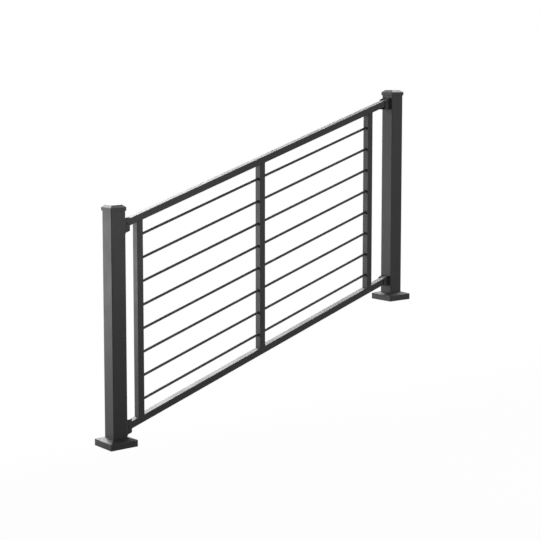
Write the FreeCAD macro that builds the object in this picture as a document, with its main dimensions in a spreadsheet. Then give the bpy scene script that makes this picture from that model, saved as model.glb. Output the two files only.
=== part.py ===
import FreeCAD, Part
import os
import re

import Sketcher

# Raked railing section for deck stairs: two square posts on bolted feet carry a panel of
# round rods between two raked rails. The origin is the middle of the lower foot's underside,
# X runs up the flight, Y points away from the viewer and Z is up. Lengths are millimetres.

SIZES = [
    ("rake_angle", 18.16, "slope of the rails and rods, degrees"),
    ("post_spacing", 1735, "between the post axes, level"),
    ("upper_foot_drop", 59, "upper foot below the rake line through the lower foot"),
    ("post_side", 76.2, "square post tube, outside"),
    ("post_wall", 3, "post tube wall"),
    ("post_corner", 3.2, "outside corner radius of the post tube"),
    ("plate_room", 5.5, "between the foot plate and the base cover around it"),
    ("plate_thickness", 10, "foot plate thickness"),
    ("plate_corner", 8, "foot plate corner radius"),
    ("bolt_inset", 14.5, "foot plate edge to its holes"),
    ("bolt_hole", 11, "foot plate hole diameter"),
    ("cover_side", 144, "base cover, outside"),
    ("cover_skirt", 30, "upright side of the base cover"),
    ("cover_height", 40, "base cover, total height"),
    ("cover_rim", 1.6, "flat rim of the base cover around the post"),
    ("cover_wall", 3, "base cover wall"),
    ("cover_edge", 1.6, "bevel of the base cover's corners"),
    ("cap_wall", 3.3, "cap skirt wall"),
    ("cap_skirt", 16, "upright side of the cap"),
    ("cap_roof", 3, "cap thickness above the post's end"),
    ("cap_rise", 11.5, "height of the cap's sloping top"),
    ("cap_flat", 54, "square flat on top of the cap"),
    ("cap_edge", 1.4, "bevel of the cap's corners"),
    ("cap_gap", 15.9, "between the cap and the upper bracket below it"),
    ("slip", 0.3, "clearance of sliding fits, each side"),
    ("rail_height", 31.75, "rail tube, square to its length"),
    ("rail_depth", 38.1, "rail and upright tubes, along Y"),
    ("rail_wall", 2, "rail and upright tube wall"),
    ("rail_corner", 2, "corner radius of the rail and upright tubes"),
    ("bottom_rail_height", 64.4, "bottom rail's centre line at the lower post's axis"),
    ("rail_spacing", 943.2, "between the rails' centre lines, plumb"),
    ("rail_end_gap", 0.5, "between a rail's end and the bracket's back"),
    ("upright_width", 31.75, "upright tube, along X"),
    ("lower_upright_gap", 74.5, "between the lower post and the first upright"),
    ("upper_upright_gap", 120, "between the last upright and the upper post"),
    ("rod_diameter", 12.7, "round rod"),
    ("rod_margin", 85.8, "rail centre line to the nearest rod, plumb"),
    ("rod_play", 0.15, "clearance of a rod in its hole, each side"),
    ("bracket_reach", 33, "bracket, out from the post"),
    ("bracket_level", 37.7, "rail centre line to the bracket's level edge, at the post"),
    ("bracket_shift", 4, "shift of that edge towards the panel"),
    ("lower_bracket_lap", 18.8, "raked edge of the lower brackets, below the rail"),
    ("bracket_back", 5, "bracket's back thickness"),
    ("bracket_ear", 9, "bracket's back beyond each cheek, along Y"),
    ("cheek_wall", 3.8, "bracket cheek thickness"),
    ("cheek_corner", 3, "rounded outer corners of the cheeks"),
    ("back_corner", 3, "rounded corners of the bracket's back"),
    ("screw_hole", 4.8, "screw hole in each ear of the bracket"),
]
ROD_COUNT = 8
ALIASES = {alias for alias, value, note in SIZES}

# Lines that several pieces share.
RISE = "tan(rake_angle * 1 deg)"
PLUMB = "1 / cos(rake_angle * 1 deg)"
PLATE_SIDE = "(cover_side - 2 * cover_wall - 2 * plate_room)"
POST_FACE = "post_side / 2"
RAIL_START = f"{POST_FACE} + bracket_back + rail_end_gap"
LOWER_UPRIGHT = f"{POST_FACE} + lower_upright_gap + upright_width / 2"
UPPER_UPRIGHT = f"post_spacing - {POST_FACE} - upper_upright_gap - upright_width / 2"
MIDDLE_UPRIGHT = f"({LOWER_UPRIGHT} + {UPPER_UPRIGHT}) / 2"
TOP_RAIL_HEIGHT = "bottom_rail_height + rail_spacing"
HALF_RAIL = f"rail_height / 2 * {PLUMB}"
FOOT_RISE = f"post_spacing * {RISE} - upper_foot_drop"
POST_TOP = (
    f"{TOP_RAIL_HEIGHT} + upper_foot_drop - {POST_FACE} * {RISE} + {HALF_RAIL}"
    " + cap_gap + cap_skirt - cap_roof"
)
FEET = {"lower": ("0", "0"), "upper": ("post_spacing", FOOT_RISE)}

doc = FreeCAD.newDocument("RakedRailing")
sheet = doc.addObject("Spreadsheet::Sheet", "Sizes")
for row, (alias, value, note) in enumerate(SIZES, start=1):
    sheet.set(f"A{row}", note)
    sheet.set(f"B{row}", str(value))
    sheet.setAlias(f"B{row}", alias)
doc.recompute()
pieces = []


def cells(text):
    """The expression with each named size written as its cell of the sheet."""
    return re.sub(r"[a-z_]+", lambda m: f"Sizes.{m[0]}" if m[0] in ALIASES else m[0], text)


def amount(text):
    """What an expression comes to with the sizes as they are."""
    return float(sheet.evalExpression(cells(text)))


def place(piece, x, z):
    """Sets a piece down at x and z, in the section's middle plane."""
    piece.setExpression("Placement.Base.x", cells(x))
    piece.setExpression("Placement.Base.z", cells(z))


def new_body(label, x, z):
    """An empty body at x and z."""
    body = doc.addObject("PartDesign::Body", label)
    body.Label = label
    place(body, x, z)
    pieces.append(body)
    return body


def origin(body, role):
    """A plane or an axis of the body's own origin."""
    return next(item for item in body.Origin.OriginFeatures if item.Role == role)


def new_sketch(body, role, name, lift="0"):
    """A sketch on one of the body's planes, or at a distance along its normal."""
    sketch = body.newObject("Sketcher::SketchObject", name)
    sketch.AttachmentSupport = [(origin(body, role), "")]
    sketch.MapMode = "FlatFace"
    sketch.setExpression("AttachmentOffset.Base.z", cells(lift))
    return sketch


def locate(sketch, item, point, name, x, y):
    """Ties one point of a sketch to its two coordinates."""
    for kind, text, tail in (("DistanceX", x, "x"), ("DistanceY", y, "y")):
        index = sketch.addConstraint(
            Sketcher.Constraint(kind, -1, 1, item, point, amount(text))
        )
        sketch.renameConstraint(index, f"{name}_{tail}")
        sketch.setExpression(f"Constraints.{name}_{tail}", cells(text))


def outline(sketch, corners):
    """A closed outline through corners that are given as pairs of expressions."""
    spots = [FreeCAD.Vector(amount(x), amount(y), 0) for x, y in corners]
    for item, spot in enumerate(spots):
        following = spots[(item + 1) % len(spots)]
        sketch.addGeometry(Part.LineSegment(spot, following))
    for item in range(len(spots)):
        following = (item + 1) % len(spots)
        sketch.addConstraint(Sketcher.Constraint("Coincident", item, 2, following, 1))
    for item, (x, y) in enumerate(corners):
        locate(sketch, item, 1, f"corner_{item + 1}", x, y)


def rectangle(sketch, width, height, x="0", y="0"):
    """A rectangle about x and y."""
    left, right = f"{x} - ({width}) / 2", f"{x} + ({width}) / 2"
    low, high = f"{y} - ({height}) / 2", f"{y} + ({height}) / 2"
    outline(sketch, [(left, low), (right, low), (right, high), (left, high)])


def bevelled_square(sketch, side, bevel):
    """A square about the origin whose corners are cut off."""
    reach, short = f"({side}) / 2", f"({side} - 2 * {bevel}) / 2"
    quarter = [(reach, short), (short, reach)]
    corners = []
    for x_sign, y_sign in ("  ", "- ", "--", " -"):
        ordered = quarter if x_sign == y_sign else quarter[::-1]
        corners += [(f"{x_sign}{x}", f"{y_sign}{y}") for x, y in ordered]
    outline(sketch, corners)


def circle(sketch, name, diameter, x="0", y="0"):
    """A circle about x and y."""
    middle = FreeCAD.Vector(amount(x), amount(y), 0)
    item = sketch.addGeometry(
        Part.Circle(middle, FreeCAD.Vector(0, 0, 1), amount(diameter) / 2)
    )
    locate(sketch, item, 3, name, x, y)
    index = sketch.addConstraint(Sketcher.Constraint("Diameter", item, amount(diameter)))
    sketch.renameConstraint(index, f"{name}_diameter")
    sketch.setExpression(f"Constraints.{name}_diameter", cells(diameter))


def extrude(body, kind, sketch, length, side="One side", turned=False):
    """A pad or a pocket of a sketch."""
    feature = body.newObject(f"PartDesign::{kind}", f"{sketch.Name}_{kind.lower()}")
    feature.Profile = sketch
    feature.SideType = side
    feature.Reversed = turned
    feature.setExpression("Length", cells(length))
    doc.recompute()
    return feature


def cut_slopes(body, side, low, flat, high):
    """Cuts a square block back on all four sides, from its full side at low to flat at high."""
    wedge = new_sketch(body, "XZ_Plane", "Slope")
    outline(wedge, [(f"{flat} / 2", high), (f"{side} / 2", low), (side, low), (side, high)])
    cut = extrude(body, "Pocket", wedge, f"2 * {side}", "Symmetric")
    ring = body.newObject("PartDesign::PolarPattern", "Slopes")
    ring.Originals = [cut]
    ring.Axis = (origin(body, "Z_Axis"), [""])
    ring.Occurrences = 4
    body.Tip = ring
    doc.recompute()


def cut_hollow(body, low_side, low, high_side, high):
    """Cuts a square hollow that narrows from low_side at low to high_side at high."""
    hollow = body.newObject("PartDesign::SubtractiveWedge", "Hollow")
    hollow.AttachmentSupport = [(origin(body, "XZ_Plane"), "")]
    hollow.MapMode = "FlatFace"
    for axis in "XZ":
        for end, side in (("", low_side), ("2", high_side)):
            hollow.setExpression(f"{axis}{end}min", cells(f"-{side} / 2"))
            hollow.setExpression(f"{axis}{end}max", cells(f"{side} / 2"))
    hollow.setExpression("Ymin", cells(low))
    hollow.setExpression("Ymax", cells(high))
    doc.recompute()


def round_edges(body, radius, chosen):
    """Rounds the edges for which the test on their two end points holds."""
    base = body.Tip
    names = []
    for number, edge in enumerate(base.Shape.Edges, start=1):
        if len(edge.Vertexes) == 2 and chosen(edge.Vertexes[0].Point, edge.Vertexes[1].Point):
            names.append(f"Edge{number}")
    fillet = body.newObject("PartDesign::Fillet", "Rounding")
    fillet.Base = (base, names)
    fillet.setExpression("Radius", cells(radius))
    doc.recompute()


def along(axis):
    """A test for edges that run along one axis of the body."""

    def chosen(start, end):
        step = end - start
        return abs(abs(step[axis]) - step.Length) < 1e-6

    return chosen


def raked(start, end):
    """A test for edges that rise along the rails."""
    step = end - start
    return abs(step.x) > 1 and abs(step.z) > 1 and abs(step.y) < 1e-6


def build_post(which):
    """Square tube that stands on the foot plate and ends under the cap."""
    x, z = FEET[which]
    body = new_body(f"{which}_post", x, f"{z} + plate_thickness")
    length = f"{POST_TOP} - plate_thickness"
    outside = new_sketch(body, "XY_Plane", "PostOutside")
    rectangle(outside, "post_side", "post_side")
    extrude(body, "Pad", outside, length)
    round_edges(body, "post_corner", along(2))
    inside = new_sketch(body, "XY_Plane", "PostInside")
    rectangle(inside, "post_side - 2 * post_wall", "post_side - 2 * post_wall")
    extrude(body, "Pocket", inside, length, turned=True)


def build_plate(which):
    """Foot plate with a bolt hole near each corner."""
    x, z = FEET[which]
    body = new_body(f"{which}_post_base_plate", x, z)
    square = new_sketch(body, "XY_Plane", "PlateOutline")
    rectangle(square, PLATE_SIDE, PLATE_SIDE)
    extrude(body, "Pad", square, "plate_thickness")
    round_edges(body, "plate_corner", along(2))
    holes = new_sketch(body, "XY_Plane", "PlateHoles")
    reach = f"({PLATE_SIDE} / 2 - bolt_inset)"
    for number, (x_sign, y_sign) in enumerate(["++", "+-", "-+", "--"], start=1):
        circle(holes, f"hole_{number}", "bolt_hole", f"{x_sign}{reach}", f"{y_sign}{reach}")
    extrude(body, "Pocket", holes, "plate_thickness", turned=True)


def build_cover(which):
    """Hollow cover over the foot plate: upright sides and a sloping top up to the post."""
    x, z = FEET[which]
    body = new_body(f"{which}_post_base_cover", x, z)
    opening = "(post_side + 2 * slip)"
    inside = "(cover_side - 2 * cover_wall)"
    block = new_sketch(body, "XY_Plane", "CoverOutline")
    bevelled_square(block, "cover_side", "cover_edge")
    extrude(body, "Pad", block, "cover_height")
    rim = f"({opening} + 2 * cover_rim)"
    cut_slopes(body, "cover_side", "cover_skirt", rim, "cover_height")
    hollow = new_sketch(body, "XY_Plane", "CoverHollow")
    rectangle(hollow, inside, inside)
    extrude(body, "Pocket", hollow, "cover_skirt - cover_wall", turned=True)
    cut_hollow(body, inside, "cover_skirt - cover_wall", opening, "cover_height - cover_wall")
    mouth = new_sketch(body, "XY_Plane", "CoverMouth")
    rectangle(mouth, opening, opening)
    extrude(body, "Pocket", mouth, "cover_height", turned=True)


def build_cap(which):
    """Cap that slips over the post's end: a brim and a low pyramid cut off flat."""
    x, z = FEET[which]
    body = new_body(f"{which}_post_cap", x, f"{z} + {POST_TOP} - cap_skirt + cap_roof")
    side = "(post_side + 2 * slip + 2 * cap_wall)"
    socket = "(post_side + 2 * slip)"
    seat, peak = "(cap_skirt - cap_roof)", "(cap_skirt + cap_rise)"
    block = new_sketch(body, "XY_Plane", "CapOutline")
    bevelled_square(block, side, "cap_edge")
    extrude(body, "Pad", block, peak)
    cut_slopes(body, side, "cap_skirt", "cap_flat", peak)
    mouth = new_sketch(body, "XY_Plane", "CapSocket")
    rectangle(mouth, socket, socket)
    extrude(body, "Pocket", mouth, seat, turned=True)
    inside = "(post_side - 2 * post_wall - 2 * slip)"
    cut_hollow(body, inside, seat, "(cap_flat - 2 * cap_roof)", f"{peak} - cap_roof")


def build_rail(label, height):
    """Raked tube whose ends are cut plumb, just clear of the backs of its brackets."""
    body = new_body(label, "0", height)

    def raked_band(thickness, start, end):
        half = f"({thickness}) / 2 * {PLUMB}"
        ends = [(start, "-"), (end, "-"), (end, "+"), (start, "+")]
        return [(x, f"({x}) * {RISE} {sign} {half}") for x, sign in ends]

    start, end = RAIL_START, f"post_spacing - ({RAIL_START})"
    outside = new_sketch(body, "XZ_Plane", "RailOutside")
    outline(outside, raked_band("rail_height", start, end))
    extrude(body, "Pad", outside, "rail_depth", "Symmetric")
    round_edges(body, "rail_corner", raked)
    inside = new_sketch(body, "XZ_Plane", "RailInside")
    past = "rail_height"
    band = raked_band("rail_height - 2 * rail_wall", f"{start} - {past}", f"{end} + {past}")
    outline(inside, band)
    extrude(body, "Pocket", inside, "rail_depth - 2 * rail_wall", "Symmetric")


def build_upright(label, x, side, turned=False):
    """Tube cut to the rake at both ends and punched along the rake for the rods."""
    body = new_body(label, x, f"bottom_rail_height + ({x}) * {RISE}")

    def between_rails(width, overrun="0"):
        inset = f"{HALF_RAIL} - {overrun}"
        half = f"({width}) / 2"
        return [
            (f"-{half}", f"-{half} * {RISE} + {inset}"),
            (half, f"{half} * {RISE} + {inset}"),
            (half, f"{half} * {RISE} + rail_spacing - ({inset})"),
            (f"-{half}", f"-{half} * {RISE} + rail_spacing - ({inset})"),
        ]

    outside = new_sketch(body, "XZ_Plane", "UprightOutside")
    outline(outside, between_rails("upright_width"))
    extrude(body, "Pad", outside, "rail_depth", "Symmetric")
    round_edges(body, "rail_corner", along(2))
    inside = new_sketch(body, "XZ_Plane", "UprightInside")
    outline(inside, between_rails("upright_width - 2 * rail_wall", "upright_width"))
    extrude(body, "Pocket", inside, "rail_depth - 2 * rail_wall", "Symmetric")

    punch = new_sketch(body, "YZ_Plane", "RodHole")
    circle(punch, "hole", "rod_diameter + 2 * rod_play")
    tilt = FreeCAD.Rotation(FreeCAD.Vector(1, 0, 0), -amount("rake_angle"))
    punch.AttachmentOffset = FreeCAD.Placement(FreeCAD.Vector(), tilt)
    punch.setExpression("AttachmentOffset.Base.y", cells("rod_margin"))
    punch.setExpression("AttachmentOffset.Rotation.Angle", cells("-rake_angle * 1 deg"))
    hole = extrude(body, "Pocket", punch, "2 * upright_width", side, turned)
    row = body.newObject("PartDesign::LinearPattern", "RodHoles")
    row.Originals = [hole]
    row.Direction = (origin(body, "Z_Axis"), [""])
    row.setExpression("Length", cells("rail_spacing - 2 * rod_margin"))
    row.Occurrences = ROD_COUNT
    body.Tip = row
    doc.recompute()


def build_rod(number):
    """Round bar from inside one end upright to inside the other; rod 1 is the highest."""
    label = f"rod_{number}"
    rod = doc.addObject("Part::Cylinder", label)
    rod.Label = label
    rod.setExpression("Radius", cells("rod_diameter / 2"))
    length = f"({UPPER_UPRIGHT} - ({LOWER_UPRIGHT})) * {PLUMB}"
    rod.setExpression("Height", cells(length))
    lean = FreeCAD.Rotation(FreeCAD.Vector(0, 1, 0), 90 - amount("rake_angle"))
    rod.Placement = FreeCAD.Placement(FreeCAD.Vector(), lean)
    rod.setExpression("Placement.Rotation.Angle", cells("90 deg - rake_angle * 1 deg"))
    pitch = f"(rail_spacing - 2 * rod_margin) / {ROD_COUNT - 1}"
    start = f"bottom_rail_height + ({LOWER_UPRIGHT}) * {RISE} + rod_margin"
    place(rod, LOWER_UPRIGHT, f"{start} + {ROD_COUNT - number} * {pitch}")
    pieces.append(rod)


def build_bracket(label, post, rail_height_at_axis, shift):
    """Socket for a rail's end: a back on the post's face and two cheeks beside the rail. A lower
    bracket is level on top and raked below; an upper one is flush with the rail's raked top."""
    lower = post == "lower"
    out, level_side, raked_side = ("", "+", "-") if lower else ("-", "-", "+")
    face = POST_FACE if lower else f"post_spacing - {POST_FACE}"
    body = new_body(label, face, f"{rail_height_at_axis} + ({face}) * {RISE}")
    slot = "(rail_depth + 2 * slip)"
    over_cheeks = f"({slot} + 2 * cheek_wall)"
    level_edge = f"({shift} {level_side} bracket_level)"
    raked_edge = f"({shift} - {HALF_RAIL} - lower_bracket_lap)" if lower else f"({HALF_RAIL})"
    middle = f"({level_edge} + {raked_edge}) / 2"

    back = new_sketch(body, "YZ_Plane", "BracketBack")
    height = f"abs({level_edge} - {raked_edge})"
    rectangle(back, f"{over_cheeks} + 2 * bracket_ear", height, "0", middle)
    extrude(body, "Pad", back, "bracket_back", turned=not lower)
    round_edges(body, "back_corner", along(0))

    def cheek_profile(start, end, spare="0"):
        level = f"{level_edge} {level_side} {spare}"
        raked_ends = [(x, f"{raked_edge} + ({x}) * {RISE} {raked_side} {spare}") for x in (end, start)]
        return [(start, level), (end, level)] + raked_ends

    cheeks = new_sketch(body, "XZ_Plane", "BracketCheeks")
    outline(cheeks, cheek_profile("0", f"{out}bracket_reach"))
    extrude(body, "Pad", cheeks, over_cheeks, "Symmetric")

    def outer_corners(start, end):
        at_tip = abs(abs(start.x) - amount("bracket_reach")) < 1e-6
        return at_tip and along(1)(start, end)

    round_edges(body, "cheek_corner", outer_corners)
    gap = new_sketch(body, "XZ_Plane", "RailSlot")
    past = f"{out}2 * bracket_reach"
    outline(gap, cheek_profile(f"{out}bracket_back", past, "bracket_reach"))
    extrude(body, "Pocket", gap, slot, "Symmetric")

    screws = new_sketch(body, "YZ_Plane", "EarScrews")
    for name, sign in (("near", "-"), ("far", "+")):
        circle(screws, name, "screw_hole", f"{sign}({over_cheeks} + bracket_ear) / 2", middle)
    extrude(body, "Pocket", screws, "bracket_back", turned=lower)


for which in ("lower", "upper"):
    build_plate(which)
    build_post(which)
    build_cover(which)
    build_cap(which)
build_rail("top_rail", TOP_RAIL_HEIGHT)
build_rail("bottom_rail", "bottom_rail_height")
build_upright("lower_end_upright", LOWER_UPRIGHT, "One side", turned=True)
build_upright("middle_upright", MIDDLE_UPRIGHT, "Symmetric")
build_upright("upper_end_upright", UPPER_UPRIGHT, "One side")
for number in range(1, ROD_COUNT + 1):
    build_rod(number)
for which in ("lower", "upper"):
    build_bracket(f"{which}_top_bracket", which, TOP_RAIL_HEIGHT, "-bracket_shift")
    build_bracket(f"{which}_bottom_bracket", which, "bottom_rail_height", "bracket_shift")
doc.recompute()

for item in doc.Objects:
    if "Invalid" in item.State or "Error" in item.State:
        raise RuntimeError(f"{item.Label} did not build: {item.State}")
for piece in pieces:
    shape = piece.Shape
    if shape.isNull() or not shape.isValid() or len(shape.Solids) != 1:
        raise RuntimeError(f"{piece.Label} is not one sound solid")

os.makedirs("parts", exist_ok=True)
for piece in pieces:
    piece.Shape.exportStep(f"parts/{piece.Label}.step")
    box = piece.Shape.BoundBox
    print(f"{piece.Label}: {piece.Shape.Volume / 1000:.1f} cm3, top at {box.ZMax:.1f}")
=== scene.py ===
import math

import bmesh
import bpy
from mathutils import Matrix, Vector


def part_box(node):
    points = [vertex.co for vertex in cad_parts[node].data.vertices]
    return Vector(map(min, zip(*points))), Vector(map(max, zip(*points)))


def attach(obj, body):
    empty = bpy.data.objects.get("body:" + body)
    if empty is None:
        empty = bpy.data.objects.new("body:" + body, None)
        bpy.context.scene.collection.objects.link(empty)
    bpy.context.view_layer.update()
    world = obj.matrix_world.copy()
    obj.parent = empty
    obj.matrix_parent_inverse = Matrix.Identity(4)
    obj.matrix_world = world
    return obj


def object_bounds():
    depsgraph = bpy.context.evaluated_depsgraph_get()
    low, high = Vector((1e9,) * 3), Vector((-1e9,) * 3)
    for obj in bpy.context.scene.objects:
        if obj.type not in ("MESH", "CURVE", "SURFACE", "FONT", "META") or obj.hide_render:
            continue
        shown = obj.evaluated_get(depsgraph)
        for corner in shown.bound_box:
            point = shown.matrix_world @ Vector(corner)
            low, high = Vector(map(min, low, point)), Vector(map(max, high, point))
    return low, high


# Raked railing section in charcoal powder coat: the finish of its tubes, rods and castings,
# the screws and cheek tops of its brackets, and a white studio around it. Lengths are metres.

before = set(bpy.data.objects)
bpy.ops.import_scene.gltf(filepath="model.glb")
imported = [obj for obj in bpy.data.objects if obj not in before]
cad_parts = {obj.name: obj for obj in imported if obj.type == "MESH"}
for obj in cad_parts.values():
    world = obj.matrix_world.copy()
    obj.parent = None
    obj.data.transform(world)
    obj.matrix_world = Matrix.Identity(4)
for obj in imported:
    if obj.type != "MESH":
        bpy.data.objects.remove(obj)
cad_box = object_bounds()

MM = 0.001
RAKE = math.tan(math.radians(18.16))        # rise of the rails for each metre along the flight
RAIL_HEIGHT = 31.75 * MM                    # square to the rail's length

# Brackets: what their boxes don't tell.
BRACKET_BACK = 5 * MM                       # thickness of the plate on the post
BRACKET_EAR = 9 * MM                        # how far that plate goes beyond each cheek
CHEEK_WALL = 3.8 * MM
CHEEK_CORNER = 3 * MM                       # radius of a cheek's outer corners
CHEEK_TOP = 4 * MM                          # how far the upper brackets' cheeks stand above the rail
EAR_SCREW_RADIUS = 4 * MM
EAR_SCREW_HEIGHT = 2.6 * MM
CHEEK_SCREW_RADIUS = 4.5 * MM
CHEEK_SCREW_HEIGHT = 2.8 * MM

# Camera, read off the photograph's posts and rails; angles are degrees.
IMAGE_SIDE = 540
FOCAL_PIXELS = 1349.4
CAMERA_SPOT = Vector((-3.2485, -5.1829, 1.6583))
CAMERA_YAW = 38.713
CAMERA_PITCH = 5.605
CAMERA_SHIFT = -0.10

# A mix node has sockets for each kind of value.
MIX_SHARE = 0
MIX_NUMBER_A = 2
MIX_NUMBER_B = 3
MIX_COLOUR_A = 6
MIX_COLOUR_B = 7
MIXED_NUMBER = 0
MIXED_COLOUR = 2


def linear(colour):
    """An sRGB hex colour as linear RGBA."""
    channels = [int(colour[i:i + 2], 16) / 255 for i in (1, 3, 5)]
    return [c / 12.92 if c <= 0.04045 else ((c + 0.055) / 1.055) ** 2.4 for c in channels] + [1]


def per_metre(millimetres):
    """A texture's scale for a pattern whose features are this wide."""
    return 1 / (millimetres * MM)


def add(tree, kind, inputs=None, **settings):
    """Adds a node with its settings; an input is given a value or the socket it is linked from."""
    node = tree.nodes.new(kind)
    for name, value in settings.items():
        setattr(node, name, value)
    for key, value in (inputs or {}).items():
        if isinstance(value, bpy.types.NodeSocket):
            tree.links.new(value, node.inputs[key])
        else:
            node.inputs[key].default_value = value
    return node


def empty_material(name):
    """A material with no nodes yet."""
    material = bpy.data.materials.new(name)
    material.use_nodes = True
    material.node_tree.nodes.clear()
    return material


def powder_coat(name, coat, edge_highlight_colour, roughness):
    """Polyester powder baked on steel: a satin, slightly pebbled skin, even in colour, whose rounded
    edges catch light and carry a painted highlight, a lighter colour, along the tubes and castings."""
    material = empty_material(name)
    tree = material.node_tree
    place = add(tree, "ShaderNodeTexCoord").outputs["Object"]

    # Film thickness drifts over a hand's breadth and shifts the sheen and tone a little.
    drift = add(tree, "ShaderNodeTexNoise", {
        "Vector": place, "Scale": per_metre(110), "Detail": 2.0, "Roughness": 0.5,
    }).outputs["Fac"]
    # Orange peel is about 1.5 mm wide on such coats; it is drawn at 3 mm so that it shows.
    peel = add(tree, "ShaderNodeTexNoise", {
        "Vector": place, "Scale": per_metre(3), "Detail": 1.0, "Roughness": 0.4,
    }).outputs["Fac"]
    # The fine grit of the powder, about 0.3 mm, is drawn at 0.9 mm.
    grit = add(tree, "ShaderNodeTexNoise", {
        "Vector": place, "Scale": per_metre(0.9), "Detail": 2.0, "Roughness": 0.6,
    }).outputs["Fac"]

    # Edges are rounded by the film: the turned normal shades them, and where it is turned by about 11 to
    # 37 degrees (cosines 0.98 to 0.80) a painted highlight, a lighter edge colour, is put on them.
    film = add(tree, "ShaderNodeBevel", {"Radius": 1.2 * MM}, samples=6).outputs["Normal"]
    flat = add(tree, "ShaderNodeNewGeometry").outputs["Normal"]
    facing = add(tree, "ShaderNodeVectorMath", {0: film, 1: flat}, operation="DOT_PRODUCT")
    edge = add(tree, "ShaderNodeMapRange", {
        "Value": facing.outputs["Value"], "From Min": 0.98, "From Max": 0.80,
        "To Min": 0.0, "To Max": 0.6,
    }).outputs["Result"]
    painted_highlight_share = add(tree, "ShaderNodeMath", {0: edge, 1: peel}, operation="MULTIPLY").outputs[0]

    tone = add(tree, "ShaderNodeMapRange", {
        "Value": drift, "From Min": 0.35, "From Max": 0.65, "To Min": 0.88, "To Max": 1.12,
    }).outputs["Result"]
    toned = add(tree, "ShaderNodeMix", {
        MIX_SHARE: 1.0, MIX_COLOUR_A: linear(coat), MIX_COLOUR_B: tone,
    }, data_type="RGBA", blend_type="MULTIPLY").outputs[MIXED_COLOUR]
    # Painted highlight: along the edges the colour is mixed toward the lighter edge colour.
    colour = add(tree, "ShaderNodeMix", {
        MIX_SHARE: painted_highlight_share, MIX_COLOUR_A: toned, MIX_COLOUR_B: linear(edge_highlight_colour),
    }, data_type="RGBA").outputs[MIXED_COLOUR]
    sheen = add(tree, "ShaderNodeMapRange", {
        "Value": drift, "From Min": 0.3, "From Max": 0.7,
        "To Min": roughness - 0.04, "To Max": roughness + 0.04,
    }).outputs["Result"]

    pebbled = add(tree, "ShaderNodeBump", {
        "Strength": 0.25, "Distance": 0.15 * MM, "Height": peel, "Normal": film,
    }).outputs["Normal"]
    gritty = add(tree, "ShaderNodeBump", {
        "Strength": 0.2, "Distance": 0.05 * MM, "Height": grit, "Normal": pebbled,
    }).outputs["Normal"]
    skin = add(tree, "ShaderNodeBsdfPrincipled", {
        "Base Color": colour, "Roughness": sheen, "Normal": gritty, "Metallic": 0.0, "IOR": 1.47,
    })
    add(tree, "ShaderNodeOutputMaterial", {"Surface": skin.outputs["BSDF"]})
    return material


def mirrored(tree):
    """1 for a ray that left a shiny or clear surface."""
    path = add(tree, "ShaderNodeLightPath").outputs
    return add(tree, "ShaderNodeMath", {
        0: path["Is Glossy Ray"], 1: path["Is Transmission Ray"],
    }, operation="MAXIMUM").outputs[0]


def white_world(soft_light):
    """A surround that is white to the eye and in the coat's sheen, and adds a little soft light."""
    world = bpy.data.worlds.new("white_studio")
    bpy.context.scene.world = world
    world.use_nodes = True
    tree = world.node_tree
    tree.nodes.clear()
    in_view = add(tree, "ShaderNodeLightPath").outputs["Is Camera Ray"]
    seen = add(tree, "ShaderNodeMath", {
        0: in_view, 1: mirrored(tree),
    }, operation="MAXIMUM").outputs[0]
    strength = add(tree, "ShaderNodeMapRange", {
        "Value": seen, "To Min": soft_light, "To Max": 1.0,
    }).outputs["Result"]
    surround = add(tree, "ShaderNodeBackground", {"Color": linear("#ffffff"), "Strength": strength})
    add(tree, "ShaderNodeOutputWorld", {"Surface": surround.outputs[0]})


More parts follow.
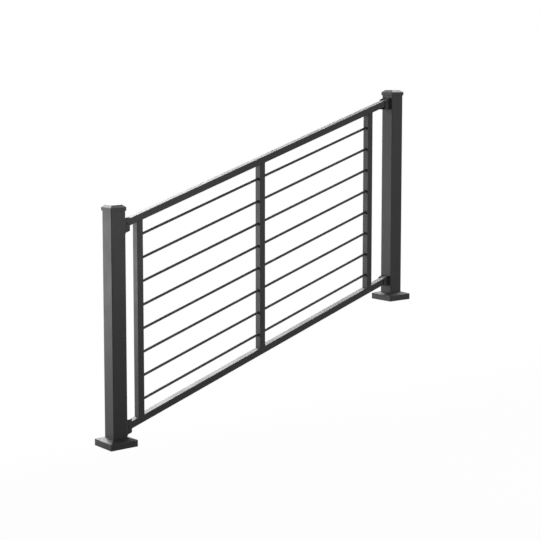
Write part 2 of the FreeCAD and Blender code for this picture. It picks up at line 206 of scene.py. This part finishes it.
def white_floor(reach, near, half, shade_in_view, shade_mirrored):
    """A sheet of matt pale paper under the railing that runs out into white. Its own lit tone, with the
    railing's shade, is full just in front of the feet, gone at near behind them and halved at half
    further forward. The eye sees it faintly and the coat's sheen strongly. Where the white glow gives
    way is set by place, not by the lamps, so in the sheen it is a painted shade on the lower fronts of
    the posts."""
    centre = (cad_box[0] + cad_box[1]) / 2
    below_feet = 0.5 * MM
    mesh = bpy.data.meshes.new("floor")
    shape = bmesh.new()
    bmesh.ops.create_grid(shape, x_segments=1, y_segments=1, size=reach)
    bmesh.ops.translate(shape, verts=shape.verts, vec=(centre.x, centre.y, cad_box[0].z - below_feet))
    shape.to_mesh(mesh)
    shape.free()
    floor = bpy.data.objects.new("floor", mesh)
    bpy.context.scene.collection.objects.link(floor)

    material = empty_material("white_paper_sheet")
    tree = material.node_tree
    mesh.materials.append(material)
    place = add(tree, "ShaderNodeTexCoord").outputs["Object"]
    across = add(tree, "ShaderNodeSeparateXYZ", {"Vector": place}).outputs["Y"]

    # Clear is 1 where the sheet is plain white: behind the railing, and slowly in front of it.
    behind = add(tree, "ShaderNodeMapRange", {
        "Value": across, "From Min": -near, "From Max": near, "To Min": 0.0, "To Max": 1.0,
    }, interpolation_type="SMOOTHSTEP").outputs["Result"]
    away = add(tree, "ShaderNodeMapRange", {
        "Value": across, "From Min": -near, "From Max": -reach,
        "To Min": 0.0, "To Max": reach / half,
    }).outputs["Result"]
    beyond = add(tree, "ShaderNodeMath", {0: away, 1: 1.0}, operation="ADD").outputs[0]
    before = add(tree, "ShaderNodeMath", {0: away, 1: beyond}, operation="DIVIDE").outputs[0]
    clear = add(tree, "ShaderNodeMath", {0: behind, 1: before}, operation="MAXIMUM").outputs[0]

    def glow_beside(shade):
        return add(tree, "ShaderNodeMapRange", {
            "Value": clear, "To Min": 1 - shade, "To Max": 1.0,
        }).outputs["Result"]

    # Painted shade in the sheen: mirrored rays find the white glow held back in front of the feet, so
    # the lower fronts of the posts reflect a darker floor.
    in_mirror = add(tree, "ShaderNodeMath", {
        0: mirrored(tree), 1: glow_beside(shade_mirrored),
    }, operation="MULTIPLY").outputs[0]
    in_view = add(tree, "ShaderNodeLightPath").outputs["Is Camera Ray"]
    glow_share = add(tree, "ShaderNodeMix", {
        MIX_SHARE: in_view, MIX_NUMBER_A: in_mirror, MIX_NUMBER_B: glow_beside(shade_in_view),
    }, data_type="FLOAT").outputs[MIXED_NUMBER]
    sheet = add(tree, "ShaderNodeBsdfDiffuse", {"Color": linear("#d2d2d2")}).outputs[0]
    glow = add(tree, "ShaderNodeEmission", {"Color": linear("#ffffff"), "Strength": 1.0}).outputs[0]
    mixed = add(tree, "ShaderNodeMixShader", {0: glow_share, 1: sheet, 2: glow}).outputs[0]
    add(tree, "ShaderNodeOutputMaterial", {"Surface": mixed})


def softbox(name, azimuth, elevation, distance, width, height, brightness):
    """A soft lamp that faces the railing; azimuth 0 is behind it and 90 up the flight. Its energy
    follows its size, so a larger lamp of the same brightness is no brighter to look at."""
    data = bpy.data.lights.new(name, "AREA")
    data.shape = "RECTANGLE"
    data.size = width
    data.size_y = height
    data.energy = brightness * math.pi * width * height
    lamp = bpy.data.objects.new(name, data)
    bpy.context.scene.collection.objects.link(lamp)
    turn = math.radians(azimuth)
    rise = math.radians(elevation)
    out = Vector((math.sin(turn) * math.cos(rise), math.cos(turn) * math.cos(rise), math.sin(rise)))
    lamp.location = (cad_box[0] + cad_box[1]) / 2 + distance * out
    lamp.rotation_euler = (-out).to_track_quat("-Z", "Y").to_euler()
    lamp.visible_camera = False


def camera():
    """The photograph's view."""
    data = bpy.data.cameras.new("camera")
    data.lens = FOCAL_PIXELS * data.sensor_width / IMAGE_SIDE
    data.shift_y = CAMERA_SHIFT
    view = bpy.data.objects.new("camera", data)
    bpy.context.scene.collection.objects.link(view)
    view.location = CAMERA_SPOT
    view.rotation_euler = (math.radians(90 - CAMERA_PITCH), 0, math.radians(-CAMERA_YAW))
    bpy.context.scene.camera = view


def screw_head(shape, centre, out, radius, height):
    """Adds a domed screw head with a six-lobed drive to a mesh; out points away from its seat."""
    sides = 36
    lobes = 6
    lobe_depth = 0.12        # of the drive's radius
    drive = 0.42 * radius
    turn = out.to_track_quat("Z", "Y").to_matrix()

    def ring(across, up, lobed=0.0):
        spots = []
        for step in range(sides):
            angle = 2 * math.pi * step / sides
            reach = across * (1 + lobed * math.cos(lobes * angle))
            spot = Vector((reach * math.cos(angle), reach * math.sin(angle), up))
            spots.append(shape.verts.new(centre + turn @ spot))
        return spots

    rings = [
        ring(0.96 * radius, 0),
        ring(radius, 0.10 * height),
        ring(radius, 0.32 * height),
        ring(0.93 * radius, 0.58 * height),
        ring(0.78 * radius, 0.82 * height),
        ring(0.58 * radius, 0.97 * height),
        ring(drive, height, lobe_depth),
        ring(0.92 * drive, 0.35 * height, lobe_depth),
    ]
    for low, high in zip(rings, rings[1:]):
        for step in range(sides):
            following = (step + 1) % sides
            shape.faces.new((low[step], low[following], high[following], high[step]))
    shape.faces.new(reversed(rings[0]))
    shape.faces.new(rings[-1])


def finish_piece(name, shape, material):
    """Turns a mesh in the making into a piece that belongs to the railing."""
    sharp = math.radians(40)
    for face in shape.faces:
        face.smooth = True
    for edge in shape.edges:
        edge.smooth = edge.calc_face_angle(0) < sharp
    mesh = bpy.data.meshes.new(name)
    shape.to_mesh(mesh)
    shape.free()
    mesh.materials.append(material)
    piece = bpy.data.objects.new(name, mesh)
    bpy.context.scene.collection.objects.link(piece)
    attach(piece, "root")


def rail_centre(rail, x):
    """Height of a rail's centre line at a place along the flight."""
    low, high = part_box(f"{rail}_rail")
    middle = (low + high) / 2
    return middle.z + (x - middle.x) * RAKE


def bracket_screws(post, rail, material):
    """The screws of one bracket: one in each ear, into the post, and one in each cheek."""
    low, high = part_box(f"{post}_{rail}_bracket")
    out = Vector((1 if post == "lower" else -1, 0, 0))
    face = low.x if post == "lower" else high.x
    cheek_x = face + out.x * (BRACKET_BACK + high.x - low.x) / 2
    cheek_z = rail_centre(rail, cheek_x)
    shape = bmesh.new()
    for side in (-1, 1):
        ear_y = side * (high.y - BRACKET_EAR / 2)
        ear = Vector((face + out.x * BRACKET_BACK, ear_y, (low.z + high.z) / 2))
        screw_head(shape, ear, out, EAR_SCREW_RADIUS, EAR_SCREW_HEIGHT)
        cheek = Vector((cheek_x, side * (high.y - BRACKET_EAR), cheek_z))
        screw_head(shape, cheek, Vector((0, side, 0)), CHEEK_SCREW_RADIUS, CHEEK_SCREW_HEIGHT)
    finish_piece(f"{post}_{rail}_bracket_screws", shape, material)


def cheek_tops(rail, material):
    """The upper brackets' cheeks go on a little above the rail, with a rounded outer corner."""
    low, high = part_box(f"upper_{rail}_bracket")
    plumb_half = RAIL_HEIGHT / 2 * math.hypot(1, RAKE)
    inset = 0.05 * MM        # keeps the faces off the cheek's own
    start = low.x + inset
    end = high.x - BRACKET_BACK / 2
    steps = 6

    def above_rail(x, height):
        return x, rail_centre(rail, x) + plumb_half + height

    outline = [
        above_rail(start, -CHEEK_CORNER),
        above_rail(end, -CHEEK_CORNER),
        above_rail(end, CHEEK_TOP),
    ]
    for step in range(steps + 1):
        turn = math.pi / 2 * step / steps
        x = start + CHEEK_CORNER * (1 - math.sin(turn))
        outline.append(above_rail(x, CHEEK_TOP - CHEEK_CORNER * (1 - math.cos(turn))))

    shape = bmesh.new()
    outer = high.y - BRACKET_EAR - inset
    inner = high.y - BRACKET_EAR - CHEEK_WALL + inset
    for near_y, far_y in ((-outer, -inner), (inner, outer)):
        near = [shape.verts.new((x, near_y, z)) for x, z in outline]
        far = [shape.verts.new((x, far_y, z)) for x, z in outline]
        shape.faces.new(near)
        shape.faces.new(reversed(far))
        for i in range(len(outline)):
            shape.faces.new((near[i - 1], far[i - 1], far[i], near[i]))
    bmesh.ops.recalc_face_normals(shape, faces=shape.faces)
    finish_piece(f"upper_{rail}_bracket_cheek_tops", shape, material)


# The tubes, rods and castings share one coat. The screws have a thinner and shinier one.
# Each coat carries a painted highlight, a lighter colour, along its edges.
charcoal_coat = powder_coat("charcoal_powder_coat", coat="#222222", edge_highlight_colour="#404040", roughness=0.45)
screw_coat = powder_coat("black_coated_screw_steel", coat="#1e1e1e", edge_highlight_colour="#474747", roughness=0.34)
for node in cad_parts.values():
    for place in node.material_slots:
        place.material = charcoal_coat
for post in ("lower", "upper"):
    for rail in ("top", "bottom"):
        bracket_screws(post, rail, screw_coat)
for rail in ("top", "bottom"):
    cheek_tops(rail, charcoal_coat)

camera()
white_world(soft_light=0.1)
white_floor(reach=30.0, near=0.4, half=8.0, shade_in_view=0.03, shade_mirrored=0.95)

# Sheen on the rods and on the slopes of the caps that face down the flight.
softbox("back_high_softbox", azimuth=0, elevation=34, distance=5.0,
        width=4.0, height=2.0, brightness=6.6)
softbox("back_low_softbox", azimuth=-5, elevation=12, distance=5.0,
        width=3.0, height=2.0, brightness=2.2)
# The light strips on top of the rails, and the slopes of the base covers.
softbox("back_right_low_softbox", azimuth=22, elevation=14, distance=5.0,
        width=2.0, height=2.0, brightness=5.8)
softbox("back_right_high_softbox", azimuth=40, elevation=24, distance=5.0,
        width=1.4, height=0.8, brightness=8.4)
# The faces of the posts and uprights that look down the flight.
softbox("left_low_softbox", azimuth=-48, elevation=-6, distance=3.9,
        width=2.0, height=0.8, brightness=5.6)
# The front slopes of the caps.
softbox("right_softbox", azimuth=78, elevation=48, distance=5.0,
        width=2.0, height=1.4, brightness=11.0)
# The front faces of the posts, rails and uprights.
softbox("front_near_softbox", azimuth=172, elevation=0, distance=2.15,
        width=0.9, height=0.6, brightness=3.3)
softbox("front_right_softbox", azimuth=131, elevation=8, distance=5.7,
        width=2.0, height=0.8, brightness=0.7)

bpy.context.scene.view_settings.view_transform = "Standard"
